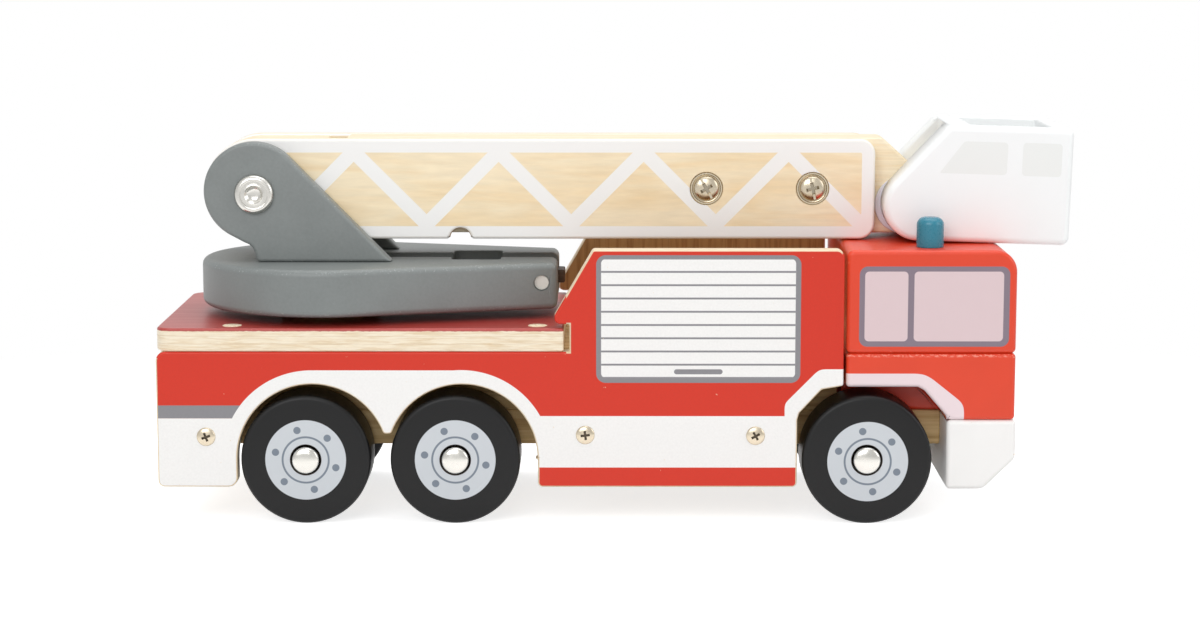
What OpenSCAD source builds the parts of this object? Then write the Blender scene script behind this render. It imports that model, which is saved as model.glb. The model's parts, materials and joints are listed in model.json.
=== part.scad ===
// Wooden toy fire engine with a turning ladder. Lengths in mm.
// X runs forwards from the tail, Y to the left, Z up from the floor.

/* [Body] */
// Width over the two side panels
body_w = 84; // [80:1:88]
// Thickness of a plywood side panel
panel_t = 6; // [5:0.5:6.5]
// Height of the gable part of the panels above the deck board's underside
gable_h = 31.9; // [28:0.1:32.2]
// Thickness of the rear deck board
deck_t = 7.4; // [6:0.2:8]
// Depth of the chassis board
board_t = 11; // [10:0.5:11]

/* [Cab] */
// Width of the cab blocks
cab_w = 80; // [76:1:82]
// Height of the cab roof above the deck board's underside
cab_h = 31.55; // [29.05:0.25:33.05]
// Radius of the upper front edge of the cab
cab_front_r = 7; // [4:0.5:9]
// Radius of a roof peg
beacon_r = 4.25; // [3.5:0.25:4.5]
// Height of a roof peg above the roof
beacon_h = 9.4; // [8:0.2:11]

/* [Wheels] */
// Wheel radius
wheel_r = 20.3; // [19:0.1:21]
// Wheel thickness
wheel_t = 18; // [16:0.5:18]
// Rounding of the wheel edges
wheel_edge_r = 1; // [0.8:0.1:2.5]
// Axle rod radius
axle_r = 2.2; // [1.9:0.1:2.5]
// Hub cap radius
cap_r = 4.2; // [3.8:0.1:4.6]

/* [Turntable] */
// Radius of the round end of the turntable
table_r = 41; // [38:0.5:42]
// Thickness of the turntable
table_t = 15; // [13:0.5:17]
// Half width of the turntable's nose
nose_half_w = 21; // [19:0.5:22]
// Depth of the groove the prop lies in
groove_h = 9; // [8.5:0.25:9.5]
// Thickness of the ladder brackets
ear_t = 6.7; // [6:0.1:7]

/* [Ladder] */
// Depth of the boom plates
boom_h = 32; // [30:0.5:34]
// Thickness of a boom plate
plate_t = 5; // [4.5:0.25:5]
// Length of the sliding ladder beam
beam_len = 184; // [180:1:184]
// How far the ladder slides out
reach = 88; // [80:1:88]
// Radius of the bolts that guide the beam
guide_r = 3; // [2.75:0.25:3]

/* [Basket] */
// Width of the basket
basket_w = 46; // [42:1:50]
// Height of the basket
basket_h = 37; // [34:0.5:39]
// Nose-down angle of the basket at rest
basket_tilt = 1.8; // [0:0.2:1.8]
// Wall thickness of the basket's well
basket_wall = 5; // [4:0.5:6]

/* [Fits] */
// Radial gap of a turning shaft in its hole
run_gap = 0.05; // [0.03:0.01:0.08]
// Side gap of the sliding beam
slide_gap = 0.1; // [0.08:0.02:0.2]
// Gap between turning faces
face_gap = 0.3; // [0.2:0.05:0.4]

/* [Hidden] */
$fn = 96;
over = 0.1;
side = body_w / 2;
inner = side - panel_t;
// Heights of the layers, which ride on the axles
axle_z = wheel_r;
wheel_top = 2 * wheel_r;
floor_z = axle_z + 34.1;
gable_top_z = floor_z + gable_h;
roof_z = floor_z + cab_h;
board_z1 = axle_z + 12.3;
board_z0 = board_z1 - board_t;
deck_top = floor_z + deck_t;
washer_h = 2.6;
washer_top = deck_top + washer_h;
table_z0 = washer_top + face_gap;
table_top = table_z0 + table_t;
// Wheels
axle_gap = 6.1;
axle_xs = [45.6, 45.6 + 2 * wheel_r + axle_gap, 220.8];
wheel_out = side + 0.3;
wheel_in = wheel_out - wheel_t;
cap_hole_r = cap_r + 0.5;
cap_depth = 6;
cap_proud = 1.2;
cap_dome = 0.8;
cap_seat_gap = 0.4;
// Panel outline
tail_x0 = -0.7;
tail_z0 = axle_z - 8.7;
arch_r = wheel_r + 3.2;
arch_xs = [axle_xs[0] + 2.15, axle_xs[1] + 2.2];
arch_z = axle_z + 0.3;
tail_x1 = arch_xs[0] - arch_r;
skirt_x0 = arch_xs[1] + arch_r + 0.1;
skirt_x1 = axle_xs[2] - wheel_r - 1.5;
panel_x1 = 213.2;
cusp_z = axle_z + 8.2;
nose_x = 123.4;
notch_x = 128;
gable_x0 = 135.3;
deck_x1 = 126.2;
// Chassis
hub_gap = 2.3;
narrow = wheel_in - hub_gap;
wide_tail = [3, axle_xs[0] - wheel_r - 3.6];
wide_mid = [axle_xs[1] + wheel_r + 7.9, axle_xs[2] - wheel_r - 4.8];
core_x1 = panel_x1 - 0.2;
core_z1 = wheel_top + 6;
board_x1 = 245.8;
block_half = 9;
block_z0 = axle_z - 7;
housing_z = axle_z + 5;
// Cab
cab_x0 = 214.2;
cab_x1 = 267;
cab_mid_z = floor_z - 0.8;
cab_arch_z = wheel_top + 2.35;
bumper_x1 = cab_x1 + 0.5;
bumper_z0 = axle_z - 9.8;
cab_edge_r = 2;
beacon_x = 240.7;
beacon_gap = 3.25;
beacon_y = basket_w / 2 + beacon_r + beacon_gap;
beacon_dome = 2.2;
tenon_r = 2.5;
tenon_h = 6;
// Panel screws and deck plugs
screw_xz = [[14.6, axle_z + 7.3], [132.9, axle_z + 7.9], [186, axle_z + 7.7]];
screw_r = 1.5;
screw_head_r = 2.95;
screw_head_h = 0.9;
screw_in = 12;
plug_xs = [22.6, 118];
plug_r = 3;
plug_h = 4;
plug_gap = 0.02;
// Turntable
swivel_x = 50;
swivel_r = 3;
washer_r = 16;
head_r = 6;
head_h = 4;
pit_r = 6.6;
pit_h = 5;
nose_end = 123.9;
nose_dx = nose_end - swivel_x;
nose_d = sqrt(nose_dx * nose_dx + nose_half_w * nose_half_w);
nose_a = atan2(nose_half_w, nose_dx) + acos(table_r / nose_d);
// The nose's sides end this far inside the round end, so that the two join
tuck = 0.02;
join_x = (table_r - tuck) * cos(nose_a);
join_y = (table_r - tuck) * sin(nose_a);
groove_half = 5.8;
groove_x0 = 66;
slot_x0 = 110;
pocket = [89.7, 105.5];
pocket_half = 12;
groove_z = table_top - groove_h;
// Ladder pivot and brackets
pivot_x = 28.15;
boom_clear = 0.4;
boom_r = boom_h / 2;
boom_z0 = roof_z + boom_clear;
boom_z1 = boom_z0 + boom_h;
boom_mid_z = boom_z0 + boom_r;
pivot_z = boom_mid_z - 1;
// The rounded ends of boom and brackets are centred a little behind the bolt
round_x = pivot_x - 0.45;
ear_r = boom_r - 0.35;
ear_z = boom_mid_z - 0.3;
boom_half = 13;
ear_in = boom_half + face_gap;
ear_out = ear_in + ear_t;
ear_foot = [pivot_x + 0.4, 71.6];
ear_dx = ear_foot[1] - round_x;
ear_dz = table_top - ear_z;
ear_d = sqrt(ear_dx * ear_dx + ear_dz * ear_dz);
ear_a = atan2(ear_dz, ear_dx) + acos(ear_r / ear_d);
flange_r = 6.25;
flange_h = 2;
socket_r = 2;
socket_h = 1.2;
pivot_r = 3;
// Prop
hinge_x = nose_end - 5;
hinge_z = table_top - 6.4;
hinge_half = nose_half_w - 0.6;
prop_r = 4.4;
prop_half = 5;
prop_t = 5;
prop_z0 = groove_z + 0.5;
prop_tip = groove_x0 + 6;
prop_tail = nose_end + 2.2;
hinge_r = 2.5;
// Boom
spacer = [round_x, 50];
beam_x0 = spacer[1] + 6;
beam_x1 = beam_x0 + beam_len;
boom_x1 = beam_x1 - 15;
boom_corner_r = 5;
beam_half = boom_half - plate_t;
notch_r = 3.4;
rest_notch_x = 92.9;
guide_xs = [boom_x1 - 54, boom_x1 - 20.2];
guide_z = boom_mid_z + 0.15;
recess_r = 5.7;
recess_h = 1.6;
guide_head_r = 4.25;
guide_head_h = 1.5;
spacer_edge = 0.5;
// Beam
beam_z = [boom_z0 + 1.45, boom_z1 - 0.05];
slot_r = guide_r + 0.2;
slot_x = [guide_xs[0] - reach - 0.5, guide_xs[1] + 0.5];
// Basket, drawn about its pivot
hang_x = beam_x1 - 5.5;
hang_z = boom_z0 + 10.65;
heel = [3.6, 0.95];
heel_r = 11.05;
basket_u1 = 51.3;
basket_w0 = heel[1] - heel_r;
basket_w1 = basket_w0 + basket_h;
brow_u = 11.9;
brow_du = brow_u - heel[0];
brow_dw = basket_w1 - heel[1];
brow_d = sqrt(brow_du * brow_du + brow_dw * brow_dw);
brow_a = atan2(brow_dw, brow_du) + acos(heel_r / brow_d);
basket_edge_r = 2.5;
fork_half = 9;
fork_gap = 1.2;
fork_u1 = norm([beam_x1 - hang_x, hang_z - beam_z[0]]) + fork_gap;
well_u = [fork_u1 + 7.4, basket_u1 - 6.5];
well_w = basket_w0 + 5;
pin_r = 2.5;
pin_half = basket_w / 2 - 6;
shim_r = 7.1;
shim_t = fork_half - beam_half;
// Whole toy: the foremost point is the basket's upper front corner
front_u = basket_u1 - basket_edge_r;
front_w = basket_w1 - basket_edge_r;
front_x = hang_x + front_u * cos(basket_tilt) + front_w * sin(basket_tilt) + basket_edge_r;
mid_x = (front_x + tail_x0) / 2;

// Which piece to draw

// Moves a piece from the tail-based layout to the middle of the toy.
module placed() {
  translate([-mid_x, 0, 0]) children();
}

// Repeats a piece on the left side.
module both_sides() {
  children();
  mirror([0, 1, 0]) children();
}

// A board cut to an X-Z outline, from y0 to y0 + t.
module board(y0, t) {
  translate([0, y0 + t, 0]) rotate([90, 0, 0]) linear_extrude(t) children();
}

// A block centred across the toy.
module block(x0, x1, half_w, z0, z1) {
  translate([x0, -half_w, z0]) cube([x1 - x0, 2 * half_w, z1 - z0]);
}

// A rod across the toy, from y0 to y1.
module cross_rod(x, z, r, y0, y1) {
  translate([x, y1, z]) rotate([90, 0, 0]) cylinder(r = r, h = y1 - y0);
}

// What is cut away to round the corner at [x, z]; sx and sz point into the board.
module corner(x, z, r, sx, sz) {
  difference() {
    translate([x + sx * (r - over) / 2, z + sz * (r - over) / 2]) square(r + over, center = true);
    translate([x + sx * r, z + sz * r]) circle(r);
  }
}

module panel_outline() {
  difference() {
    polygon([[tail_x0, tail_z0], [skirt_x1, tail_z0], [skirt_x1, axle_z + 12.7],
      [skirt_x1 + 0.6, axle_z + 14.8], [skirt_x1 + 7.5, wheel_top + 1.9],
      [panel_x1, wheel_top + 3.1], [panel_x1, gable_top_z], [gable_x0, gable_top_z],
      [nose_x, deck_top + 4], [nose_x, deck_top + 2.2], [nose_x + 1.2, deck_top + 1.3],
      [notch_x, deck_top + 1.3], [notch_x, floor_z], [tail_x0, floor_z]]);
    for (x = arch_xs) translate([x, arch_z]) circle(arch_r);
    translate([tail_x1, 0]) square([skirt_x0 - tail_x1, arch_z]);
    translate([arch_xs[0], 0]) square([arch_xs[1] - arch_xs[0], cusp_z]);
    corner(tail_x0, floor_z, 3, 1, -1);
    corner(tail_x0, tail_z0, 2, 1, 1);
    corner(tail_x1, tail_z0, 3, -1, 1);
    corner(skirt_x0, tail_z0, 1.5, 1, 1);
    corner(skirt_x1, tail_z0, 1.5, -1, 1);
    corner(panel_x1, gable_top_z, 2.5, -1, -1);
  }
}

module side_panel_right() {
  color([0.75, 0.2, 0.13]) placed() difference() {
    board(-side, panel_t) panel_outline();
    for (p = screw_xz) cross_rod(p[0], p[1], screw_r + plug_gap, -side - over, -inner + over);
  }
}

module side_panel_left() {
  color([0.75, 0.2, 0.13]) placed() mirror([0, 1, 0]) difference() {
    board(-side, panel_t) panel_outline();
    for (p = screw_xz) cross_rod(p[0], p[1], screw_r + plug_gap, -side - over, -inner + over);
  }
}

module deck() {
  color([0.6, 0.2, 0.18]) placed() difference() {
    translate([0, 0, floor_z]) linear_extrude(deck_t) difference() {
      translate([tail_x0, -side]) square([deck_x1 - tail_x0, body_w]);
      corner(tail_x0, -side, 5, 1, 1);
      corner(tail_x0, side, 5, 1, -1);
    }
    translate([swivel_x, 0, floor_z - over]) cylinder(r = swivel_r + plug_gap, h = deck_t + 2 * over);
    for (x = plug_xs, y = [-inner, inner]) {
      translate([x, y, deck_top - plug_h]) cylinder(r = plug_r + plug_gap, h = plug_h + over);
    }
  }
}

module deck_plugs() {
  color([0.85, 0.72, 0.5]) placed() for (x = plug_xs, y = [-inner, inner]) {
    translate([x, y, deck_top - plug_h]) cylinder(r = plug_r, h = plug_h + 0.15);
  }
}

module chassis_board() {
  color([0.8, 0.65, 0.42]) placed() difference() {
    union() {
      block(wide_tail[0], board_x1, narrow, board_z0, board_z1);
      block(wide_tail[0], wide_tail[1], inner, board_z0, board_z1);
      block(wide_mid[0], wide_mid[1], inner, board_z0, board_z1);
    }
    for (x = axle_xs) {
      block(x - block_half, x + block_half, narrow + over, board_z0 - over, housing_z);
    }
    both_sides() for (p = screw_xz) {
      cross_rod(p[0], p[1], screw_r + plug_gap, -inner - over, -inner + screw_in);
    }
  }
}

module axle_blocks() {
  color([0.78, 0.62, 0.4]) placed() for (x = axle_xs) difference() {
    block(x - block_half, x + block_half, narrow, block_z0, housing_z);
    cross_rod(x, axle_z, axle_r + run_gap, -narrow - over, narrow + over);
  }
}

module body_core() {
  color([0.78, 0.62, 0.4]) placed() difference() {
    union() {
      block(wide_tail[0], core_x1, inner, core_z1, floor_z);
      block(wide_tail[0], wide_tail[1], inner, board_z1, core_z1);
      block(wide_tail[1], wide_mid[0], narrow, board_z1, core_z1);
      block(wide_mid[0], wide_mid[1], inner, board_z1, core_z1);
      block(wide_mid[1], core_x1, narrow, board_z1, core_z1);
    }
    translate([swivel_x, 0, core_z1 - 2]) cylinder(r = swivel_r + plug_gap, h = floor_z);
  }
}

module axles() {
  color([0.6, 0.6, 0.62]) placed() for (x = axle_xs) {
    cross_rod(x, axle_z, axle_r, -wheel_out, wheel_out);
  }
}

// A domed cap pressed on an axle end in the wheel's hub hole.
module axle_caps() {
  dome_r = (cap_r * cap_r + cap_dome * cap_dome) / (2 * cap_dome);
  seat = cap_depth - cap_seat_gap;
  edge = seat + cap_proud;
  color([0.8, 0.8, 0.82]) placed() both_sides() for (x = axle_xs) {
    translate([x, -wheel_out + seat, axle_z]) rotate([90, 0, 0]) difference() {
      rotate_extrude() {
        square([cap_r, edge]);
        intersection() {
          translate([0, edge + cap_dome - dome_r]) circle(dome_r);
          translate([0, edge]) square([cap_r, cap_dome + over]);
        }
      }
      translate([0, 0, -over]) cylinder(r = axle_r + plug_gap, h = seat + over);
    }
  }
}

module cab_upper() {
  color([0.8, 0.2, 0.13]) placed() difference() {
    board(-cab_w / 2, cab_w) difference() {
      translate([cab_x0, cab_mid_z]) square([cab_x1 - cab_x0, roof_z - cab_mid_z]);
      corner(cab_x1, roof_z, cab_front_r, -1, -1);
      corner(cab_x0, roof_z, cab_edge_r, 1, -1);
    }
    for (y = [-beacon_y, beacon_y]) translate([beacon_x, y, roof_z - tenon_h - 0.5]) {
      cylinder(r = tenon_r + plug_gap, h = tenon_h + 1);
    }
  }
}

module cab_lower() {
  color([0.8, 0.2, 0.13]) placed() union() {
    board(-cab_w / 2, cab_w) polygon([[cab_x0, cab_mid_z], [cab_x0, cab_arch_z],
      [board_x1 - 9.1, cab_arch_z], [board_x1 - 7.1, cab_arch_z - 1.1], [board_x1, board_z1 + 1],
      [board_x1, board_z1],
      [cab_x1, board_z1], [cab_x1, cab_mid_z]]);
    block(cab_x0, board_x1 + 1, narrow, board_z1, cab_arch_z + 1);
  }
}

module bumper() {
  color([0.94, 0.94, 0.93]) placed() board(-cab_w / 2, cab_w) difference() {
    polygon([[board_x1, bumper_z0], [bumper_x1 - 10, bumper_z0], [bumper_x1, bumper_z0 + 9.7],
      [bumper_x1, board_z1], [board_x1, board_z1]]);
    corner(board_x1, bumper_z0, 1.5, 1, 1);
  }
}

// A round-headed peg glued into the cab roof.
module beacon(y) {
  dome_r = (beacon_r * beacon_r + beacon_dome * beacon_dome) / (2 * beacon_dome);
  edge = beacon_h - beacon_dome;
  placed() translate([beacon_x, y, roof_z]) {
    rotate_extrude() {
      square([beacon_r, edge]);
      intersection() {
        translate([0, beacon_h - dome_r]) circle(dome_r);
        translate([0, edge]) square([beacon_r, beacon_dome + over]);
      }
    }
    translate([0, 0, -tenon_h]) cylinder(r = tenon_r, h = tenon_h + 1);
  }
}

module beacon_right() {
  color([0.12, 0.42, 0.5]) beacon(-beacon_y);
}

module beacon_left() {
  color([0.12, 0.42, 0.5]) beacon(beacon_y);
}

module panel_screws() {
  color([0.7, 0.7, 0.7]) placed() both_sides() for (p = screw_xz) {
    cross_rod(p[0], p[1], screw_r, -side - screw_head_h / 2, -inner + screw_in - 1);
    cross_rod(p[0], p[1], screw_head_r, -side - screw_head_h, -side);
  }
}

module turntable_washer() {
  color([0.75, 0.6, 0.4]) placed() translate([swivel_x, 0, deck_top]) difference() {
    cylinder(r = washer_r, h = washer_top - deck_top);
    translate([0, 0, -over]) cylinder(r = swivel_r + plug_gap, h = 10);
  }
}

// The upright bolt the turntable turns on, let into its top.
module swivel_bolt() {
  head_z = table_top - pit_h + face_gap;
  color([0.7, 0.7, 0.72]) placed() translate([swivel_x, 0, 0]) difference() {
    union() {
      translate([0, 0, core_z1]) cylinder(r = swivel_r, h = head_z - core_z1 + 1);
      translate([0, 0, head_z]) cylinder(r = head_r, h = head_h);
    }
    translate([0, 0, head_z + head_h - 2]) cylinder(r = socket_r, h = 3, $fn = 6);
  }
}

module turntable() {
  color([0.5, 0.53, 0.52]) placed() difference() {
    translate([swivel_x, 0, table_z0]) union() {
      cylinder(r = table_r, h = table_t);
      linear_extrude(table_t) polygon([[join_x, join_y], [nose_dx, nose_half_w],
        [nose_dx, -nose_half_w], [join_x, -join_y]]);
    }
    translate([swivel_x, 0, 0]) cylinder(r = swivel_r + run_gap, h = 100);
    translate([swivel_x, 0, table_top - pit_h]) cylinder(r = pit_r, h = pit_h + over);
    block(groove_x0, nose_end + over, groove_half, groove_z, table_top + over);
    block(slot_x0, nose_end + over, groove_half, table_z0 - over, table_top + over);
    block(pocket[0], pocket[1], pocket_half, groove_z, table_top + over);
    cross_rod(hinge_x, hinge_z, hinge_r + run_gap, -40, 40);
  }
}

module ear_outline() {
  difference() {
    union() {
      translate([round_x, ear_z]) circle(ear_r);
      polygon([[ear_foot[0], table_top], [ear_foot[1], table_top],
        [round_x + ear_r * cos(ear_a), ear_z + ear_r * sin(ear_a)], [round_x, ear_z],
        [pivot_x - 7.5, table_top + 8.4], [pivot_x - 3.6, table_top + 6.3],
        [pivot_x - 2, table_top + 5.6], [pivot_x - 0.8, table_top + 4.4],
        [pivot_x - 0.1, table_top + 2.8], [pivot_x + 0.2, table_top + 1.2]]);
    }
    translate([pivot_x, pivot_z]) circle(pivot_r + plug_gap);
  }
}

module ear_right() {
  color([0.46, 0.49, 0.48]) placed() board(-ear_out, ear_t) ear_outline();
}

module ear_left() {
  color([0.46, 0.49, 0.48]) placed() board(ear_in, ear_t) ear_outline();
}

module ladder_pivot_bolt() {
  color([0.75, 0.75, 0.77]) placed() difference() {
    union() {
      cross_rod(pivot_x, pivot_z, pivot_r, -ear_out - 1, ear_out + 1);
      both_sides() cross_rod(pivot_x, pivot_z, flange_r, -ear_out - flange_h, -ear_out);
    }
    both_sides() translate([pivot_x, -ear_out - flange_h + socket_h, pivot_z]) {
      rotate([90, 0, 0]) cylinder(r = socket_r, h = 3, $fn = 6);
    }
  }
}

module prop_pin() {
  color([0.85, 0.85, 0.86]) placed() cross_rod(hinge_x, hinge_z, hinge_r, -hinge_half, hinge_half);
}

module prop() {
  color([0.35, 0.25, 0.17]) placed() board(-prop_half, 2 * prop_half) difference() {
    union() {
      translate([hinge_x, hinge_z]) circle(prop_r);
      translate([prop_tip, prop_z0]) square([hinge_x - prop_tip, prop_t]);
      translate([hinge_x, prop_z0]) square([prop_tail - hinge_x, prop_t - 0.8]);
      translate([prop_tip, prop_z0 + prop_t / 2]) circle(prop_t / 2);
    }
    translate([hinge_x, hinge_z]) circle(hinge_r + run_gap);
  }
}

module boom_outline() {
  difference() {
    union() {
      translate([round_x, boom_mid_z]) circle(boom_r);
      translate([round_x, boom_z0]) square([boom_x1 - round_x, boom_h]);
    }
    corner(boom_x1, boom_z0, boom_corner_r, -1, 1);
    corner(boom_x1, boom_z1, boom_corner_r, -1, -1);
    translate([rest_notch_x, boom_z0]) circle(notch_r);
    translate([pivot_x, pivot_z]) circle(pivot_r + run_gap);
    for (x = guide_xs) translate([x, guide_z]) circle(guide_r + plug_gap);
  }
}

module boom_plate() {
  difference() {
    board(-boom_half, plate_t) boom_outline();
    for (x = guide_xs) cross_rod(x, guide_z, recess_r, -boom_half - over, -boom_half + recess_h);
  }
}

module boom_plate_right() {
  color([0.93, 0.93, 0.92]) placed() boom_plate();
}

module boom_plate_left() {
  color([0.93, 0.93, 0.92]) placed() mirror([0, 1, 0]) boom_plate();
}

module boom_spacer() {
  color([0.85, 0.74, 0.52]) placed() board(-beam_half, 2 * beam_half) difference() {
    union() {
      translate([round_x, boom_mid_z]) circle(boom_r - spacer_edge);
      translate([spacer[0], boom_z0 + spacer_edge]) {
        square([spacer[1] - spacer[0], boom_h - 2 * spacer_edge]);
      }
    }
    translate([pivot_x, pivot_z]) circle(pivot_r + run_gap);
  }
}

module boom_bolts() {
  head_y = boom_half - recess_h;
  color([0.75, 0.75, 0.77]) placed() for (x = guide_xs) {
    cross_rod(x, guide_z, guide_r, -head_y - 1, head_y + 1);
    both_sides() cross_rod(x, guide_z, guide_head_r, -head_y - guide_head_h, -head_y);
  }
}

module ladder_beam() {
  color([0.88, 0.76, 0.55]) placed() difference() {
    board(-beam_half + slide_gap, 2 * (beam_half - slide_gap)) difference() {
      polygon([[beam_x0, beam_z[0]], [beam_x1, beam_z[0]], [beam_x1, boom_mid_z + 4.25],
        [beam_x1 - 2.7, boom_mid_z + 7.25], [beam_x1 - 12.3, beam_z[1]],
        [beam_x0, beam_z[1]]]);
      translate([hang_x, hang_z]) circle(pin_r + run_gap);
    }
    for (x = slot_x) cross_rod(x, guide_z, slot_r, -boom_half, boom_half);
    block(slot_x[0], slot_x[1], boom_half, guide_z - slot_r, guide_z + slot_r);
  }
}

// Places a piece drawn about the basket's pivot.
module hung() {
  placed() translate([hang_x, 0, hang_z]) rotate([0, basket_tilt, 0]) children();
}

module basket() {
  color([0.95, 0.95, 0.94]) hung() difference() {
    board(-basket_w / 2, basket_w) difference() {
      union() {
        translate(heel) circle(heel_r);
        polygon([[heel[0], basket_w0], [basket_u1, basket_w0], [basket_u1, basket_w1],
          [brow_u, basket_w1], [heel[0] + heel_r * cos(brow_a), heel[1] + heel_r * sin(brow_a)],
          heel]);
      }
      corner(basket_u1, basket_w0, basket_edge_r, -1, 1);
      corner(basket_u1, basket_w1, basket_edge_r, -1, -1);
    }
    block(-20, fork_u1, fork_half, -30, 40);
    block(well_u[0], well_u[1], basket_w / 2 - basket_wall, well_w, basket_w1 + over);
    cross_rod(0, 0, pin_r + plug_gap, -pin_half - 1, pin_half + 1);
  }
}

module basket_pin() {
  color([0.75, 0.75, 0.77]) hung() cross_rod(0, 0, pin_r, -pin_half, pin_half);
}

module basket_shims() {
  color([0.85, 0.84, 0.87]) hung() both_sides() difference() {
    cross_rod(0, 0, shim_r, -fork_half, -fork_half + shim_t);
    cross_rod(0, 0, pin_r + plug_gap, -fork_half - over, fork_half);
  }
}

// A wheel with its hub hole on the outer face; its outer face is at -wheel_out.
module wheel(x) {
  translate([x, -wheel_out + wheel_t, axle_z]) rotate([90, 0, 0]) rotate_extrude() difference() {
    translate([axle_r + run_gap, 0]) square([wheel_r - axle_r - run_gap, wheel_t]);
    translate([0, wheel_t - cap_depth]) square([cap_hole_r, cap_depth + over]);
    corner(wheel_r, 0, wheel_edge_r, -1, 1);
    corner(wheel_r, wheel_t, wheel_edge_r, -1, -1);
  }
}

module wheel_rear_right() {
  color([0.1, 0.1, 0.1]) placed() wheel(axle_xs[0]);
}

module wheel_rear_left() {
  color([0.1, 0.1, 0.1]) placed() mirror([0, 1, 0]) wheel(axle_xs[0]);
}

module wheel_middle_right() {
  color([0.1, 0.1, 0.1]) placed() wheel(axle_xs[1]);
}

module wheel_middle_left() {
  color([0.1, 0.1, 0.1]) placed() mirror([0, 1, 0]) wheel(axle_xs[1]);
}

module wheel_front_right() {
  color([0.1, 0.1, 0.1]) placed() wheel(axle_xs[2]);
}

module wheel_front_left() {
  color([0.1, 0.1, 0.1]) placed() mirror([0, 1, 0]) wheel(axle_xs[2]);
}

side_panel_right();
side_panel_left();
deck();
chassis_board();
body_core();
axle_blocks();
axles();
axle_caps();
cab_upper();
cab_lower();
bumper();
beacon_right();
beacon_left();
panel_screws();
deck_plugs();
turntable_washer();
swivel_bolt();
turntable();
ear_right();
ear_left();
ladder_pivot_bolt();
prop_pin();
prop();
boom_plate_right();
boom_plate_left();
boom_spacer();
boom_bolts();
ladder_beam();
basket();
basket_shims();
basket_pin();
wheel_rear_right();
wheel_rear_left();
wheel_middle_right();
wheel_middle_left();
wheel_front_right();
wheel_front_left();
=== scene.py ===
import copy
import json
import math

import bmesh
import bpy
from mathutils import Matrix, Vector

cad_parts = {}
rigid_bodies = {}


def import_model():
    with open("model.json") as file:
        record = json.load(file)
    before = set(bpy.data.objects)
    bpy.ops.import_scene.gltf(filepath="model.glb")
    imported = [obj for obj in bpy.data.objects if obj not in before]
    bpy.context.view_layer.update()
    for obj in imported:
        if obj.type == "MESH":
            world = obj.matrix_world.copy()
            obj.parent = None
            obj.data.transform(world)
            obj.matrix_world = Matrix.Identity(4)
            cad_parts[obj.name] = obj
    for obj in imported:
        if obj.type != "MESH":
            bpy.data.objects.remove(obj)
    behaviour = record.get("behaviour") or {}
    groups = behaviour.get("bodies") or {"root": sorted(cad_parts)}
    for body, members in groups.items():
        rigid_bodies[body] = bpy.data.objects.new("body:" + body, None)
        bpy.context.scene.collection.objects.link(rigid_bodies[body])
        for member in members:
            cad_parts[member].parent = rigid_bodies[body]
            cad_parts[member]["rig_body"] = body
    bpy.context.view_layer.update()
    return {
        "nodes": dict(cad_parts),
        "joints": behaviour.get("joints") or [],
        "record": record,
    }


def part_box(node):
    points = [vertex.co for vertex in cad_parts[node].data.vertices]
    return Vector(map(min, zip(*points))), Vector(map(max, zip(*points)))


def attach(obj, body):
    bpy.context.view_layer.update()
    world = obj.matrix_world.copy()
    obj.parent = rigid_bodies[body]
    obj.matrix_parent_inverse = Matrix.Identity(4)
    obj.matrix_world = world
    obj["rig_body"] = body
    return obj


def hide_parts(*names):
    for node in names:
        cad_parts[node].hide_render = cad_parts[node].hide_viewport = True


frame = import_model()

MM = 0.001
# Places below are in mm: y to the left, z up from the floor, x forwards from
# a line just inside the deck's rear end.
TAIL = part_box("deck")[0].x + 0.7 * MM
HALF_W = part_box("deck")[1].y / MM
WHEEL_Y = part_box("wheel_rear_left")[1].y / MM
BASKET_LEAN = math.radians(1.8)
# The faces of a box whose corners go round at the bottom, then at the top.
BOX_FACES = ((0, 1, 2, 3), (4, 5, 6, 7), (0, 1, 5, 4), (1, 2, 6, 5), (2, 3, 7, 6), (3, 0, 4, 7))


def mid(node, axis):
    """Middle of a CAD node along an axis, in the places' mm."""
    low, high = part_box(node)
    shift = TAIL if axis == 0 else 0.0
    return ((low[axis] + high[axis]) / 2 - shift) / MM


def at(x, y, z):
    """A place in mm turned into metres in the frame."""
    return Vector((TAIL + x * MM, y * MM, z * MM))


# ---------------------------------------------------------------- colours

def rgb(red, green, blue):
    """An 8-bit display colour as a linear one."""
    def linear(v):
        v /= 255
        return v / 12.92 if v <= 0.04045 else ((v + 0.055) / 1.055) ** 2.4
    return (linear(red), linear(green), linear(blue), 1.0)


RED = rgb(213, 48, 24)
CAB_RED = rgb(226, 67, 36)
DECK_RED = rgb(176, 56, 48)
WHITE = rgb(248, 247, 245)
PRINT_GREY = rgb(139, 138, 142)
FRAME_GREY = rgb(134, 120, 132)
PANE_PINK = rgb(224, 201, 204)
STRIPE_PINK = rgb(240, 222, 226)
WINDOW_PALE = rgb(240, 242, 240)
TEAL = rgb(46, 126, 148)
TABLE_GREY = rgb(127, 132, 131)
EAR_GREY = rgb(129, 134, 133)
BLACK = rgb(13, 13, 14)
LABEL = rgb(208, 213, 218)
DOT_GREY = rgb(126, 136, 148)
PLY_PALE = rgb(250, 238, 214)
PLY_DARK = rgb(228, 204, 166)
# The ply's glue lines and bare notch colour, also used as painted shade on the sides' faces within
# the body.
PLY_BROWN_AND_SHADE = rgb(188, 148, 100)
PINE_PALE = rgb(226, 196, 142)
PINE_DARK = rgb(186, 146, 92)
BIRCH_PALE = rgb(252, 239, 212)
BIRCH_DARK = rgb(244, 222, 182)


# ---------------------------------------------------------------- shader maths

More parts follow.
